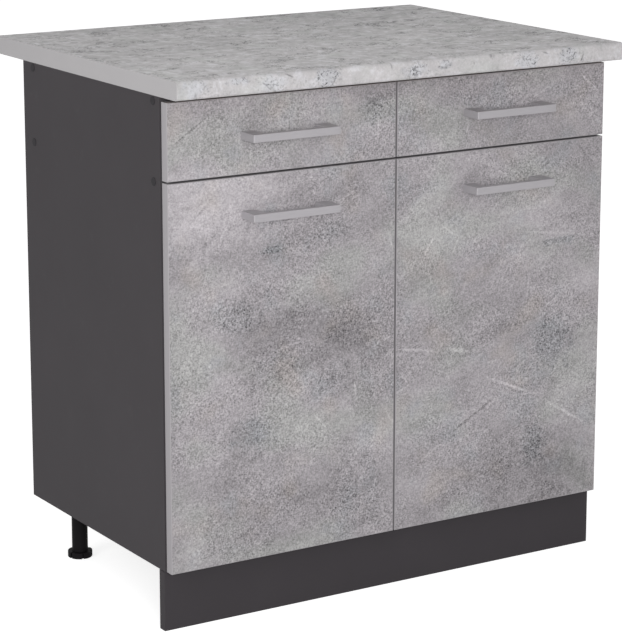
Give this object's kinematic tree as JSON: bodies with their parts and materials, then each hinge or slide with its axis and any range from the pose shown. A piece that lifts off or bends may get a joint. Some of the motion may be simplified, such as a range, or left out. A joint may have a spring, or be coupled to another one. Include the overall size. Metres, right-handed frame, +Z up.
{
  "type": "kitchen base cabinet",
  "caption": "Kitchen base cabinet: drawers over hinged doors, concrete-look fronts, bow handles, dark carcass, overhanging stone-look worktop, plinth and height-adjustable legs.",
  "frame": {"origin": "on the floor, in the middle of the whole cabinet's footprint with its fronts shut", "axes": "+X to the right as the user faces the doors, +Y from the fronts to the wall, +Z up"},
  "size_m": [0.8088, 0.604, 0.843],
  "materials": {
    "carcass_board": "matte anthracite melamine on particle board",
    "back_board": "matte anthracite printed hardboard",
    "plinth_board": "matte anthracite melamine on particle board",
    "worktop_board": "satin grey stone-look laminate on particle board",
    "worktop_edging": "matte grey edging strip",
    "front_board": "matte mottled concrete-look melamine with plain grey edges",
    "drawer_board": "matte light grey melamine",
    "handle_metal": "fine brushed, nickel coloured",
    "runner_metal": "satin light grey powder coat on steel",
    "hinge_metal": "nickel plated",
    "zinc_steel": "bright zinc plated",
    "cap_plastic": "matte charcoal",
    "black_plastic": "matte black, finely textured",
    "roller_nylon": "matte off-white nylon",
    "dowel_beech": "bare beech",
    "pad_rubber": "soft, milky clear"
  },
  "bodies": {
    "carcass": {"side_panel_left": "carcass_board", "side_panel_right": "carcass_board", "bottom_panel": "carcass_board", "top_rail_front": "carcass_board", "top_rail_back": "carcass_board", "mid_rail_front": "carcass_board", "mid_rail_back": "carcass_board", "drawer_divider": "carcass_board", "back_panel_left": "back_board", "back_panel_right": "back_board", "back_panel_joiner": "black_plastic", "shelf": "carcass_board", "shelf_pins": "black_plastic", "worktop": "worktop_board", "worktop_end_strips": "worktop_edging", "plinth_panel": "plinth_board", "plinth_clips": "black_plastic", "leg_sleeves": "black_plastic", "carcass_runners": "runner_metal", "hinge_plates": "hinge_metal", "hinge_arms": "hinge_metal", "carcass_screws": "zinc_steel", "screw_caps": "cap_plastic", "dowels": "dowel_beech", "worktop_screws": "zinc_steel", "fitting_screws": "zinc_steel", "bumper_pads": "pad_rubber"},
    "leg_foot_front_left": {"leg_foot_front_left": "black_plastic"},
    "leg_foot_front_right": {"leg_foot_front_right": "black_plastic"},
    "leg_foot_back_left": {"leg_foot_back_left": "black_plastic"},
    "leg_foot_back_right": {"leg_foot_back_right": "black_plastic"},
    "hinge_links_left": {"hinge_links_left": "hinge_metal"},
    "door_left": {"door_left": "front_board", "hinge_cups_left": "hinge_metal", "door_handle_left": "handle_metal", "door_screws_left": "zinc_steel"},
    "hinge_links_right": {"hinge_links_right": "hinge_metal"},
    "door_right": {"door_right": "front_board", "hinge_cups_right": "hinge_metal", "door_handle_right": "handle_metal", "door_screws_right": "zinc_steel"},
    "drawer_left": {"drawer_front_left": "front_board", "drawer_sides_left": "drawer_board", "drawer_back_left": "drawer_board", "drawer_bottom_left": "drawer_board", "drawer_runners_left": "runner_metal", "drawer_handle_left": "handle_metal", "drawer_fittings_left": "zinc_steel"},
    "drawer_rollers_left": {"drawer_rollers_left": "roller_nylon"},
    "runner_rollers_left": {"runner_rollers_left": "roller_nylon"},
    "drawer_right": {"drawer_front_right": "front_board", "drawer_sides_right": "drawer_board", "drawer_back_right": "drawer_board", "drawer_bottom_right": "drawer_board", "drawer_runners_right": "runner_metal", "drawer_handle_right": "handle_metal", "drawer_fittings_right": "zinc_steel"},
    "drawer_rollers_right": {"drawer_rollers_right": "roller_nylon"},
    "runner_rollers_right": {"runner_rollers_right": "roller_nylon"}
  },
  "joints": [
    {"name": "foot_front_left_height", "type": "slide", "parent": "carcass", "child": "leg_foot_front_left", "axis": [0, 0, -1], "range_m": [0, 0.02]},
    {"name": "foot_front_right_height", "type": "slide", "parent": "carcass", "child": "leg_foot_front_right", "axis": [0, 0, -1], "range_m": [0, 0.02]},
    {"name": "foot_back_left_height", "type": "slide", "parent": "carcass", "child": "leg_foot_back_left", "axis": [0, 0, -1], "range_m": [0, 0.02]},
    {"name": "foot_back_right_height", "type": "slide", "parent": "carcass", "child": "leg_foot_back_right", "axis": [0, 0, -1], "range_m": [0, 0.02]},
    {"name": "hinge_link_left", "type": "hinge", "parent": "carcass", "child": "hinge_links_left", "pos_m": [-0.3741, -0.2397, 0.392], "axis": [0, 0, 1], "range_deg": [0, 43.8]},
    {"name": "door_left_swing", "type": "hinge", "parent": "hinge_links_left", "child": "door_left", "pos_m": [-0.3913, -0.2512, 0.392], "axis": [0, 0, -1], "range_deg": [0, 138.7]},
    {"name": "hinge_link_right", "type": "hinge", "parent": "carcass", "child": "hinge_links_right", "pos_m": [0.3669, -0.2397, 0.392], "axis": [0, 0, -1], "range_deg": [0, 43.8]},
    {"name": "door_right_swing", "type": "hinge", "parent": "hinge_links_right", "child": "door_right", "pos_m": [0.3841, -0.2512, 0.392], "axis": [0, 0, 1], "range_deg": [0, 138.7]},
    {"name": "drawer_left_slide", "type": "slide", "parent": "carcass", "child": "drawer_left", "axis": [0, -1, 0], "range_m": [0, 0.29]},
    {"name": "drawer_left_rollers_turn", "type": "hinge", "parent": "drawer_left", "child": "drawer_rollers_left", "pos_m": [-0.20335, 0.14, 0.714], "axis": [1, 0, 0], "continuous": true},
    {"name": "runner_left_rollers_turn", "type": "hinge", "parent": "carcass", "child": "runner_rollers_left", "pos_m": [-0.20335, -0.231, 0.714], "axis": [1, 0, 0], "continuous": true},
    {"name": "drawer_right_slide", "type": "slide", "parent": "carcass", "child": "drawer_right", "axis": [0, -1, 0], "range_m": [0, 0.29]},
    {"name": "drawer_right_rollers_turn", "type": "hinge", "parent": "drawer_right", "child": "drawer_rollers_right", "pos_m": [0.19615, 0.14, 0.714], "axis": [1, 0, 0], "continuous": true},
    {"name": "runner_right_rollers_turn", "type": "hinge", "parent": "carcass", "child": "runner_rollers_right", "pos_m": [0.19615, -0.231, 0.714], "axis": [1, 0, 0], "continuous": true}
  ],
  "couplings": [
    {"joint": "hinge_link_left", "follows": "door_left_swing", "ratio": 0.31507},
    {"joint": "hinge_link_right", "follows": "door_right_swing", "ratio": 0.31507},
    {"joint": "drawer_left_rollers_turn", "follows": "drawer_left_slide", "rad_per_m": 117.65},
    {"joint": "runner_left_rollers_turn", "follows": "drawer_left_slide", "rad_per_m": 117.65},
    {"joint": "drawer_right_rollers_turn", "follows": "drawer_right_slide", "rad_per_m": 117.65},
    {"joint": "runner_right_rollers_turn", "follows": "drawer_right_slide", "rad_per_m": 117.65}
  ]
}
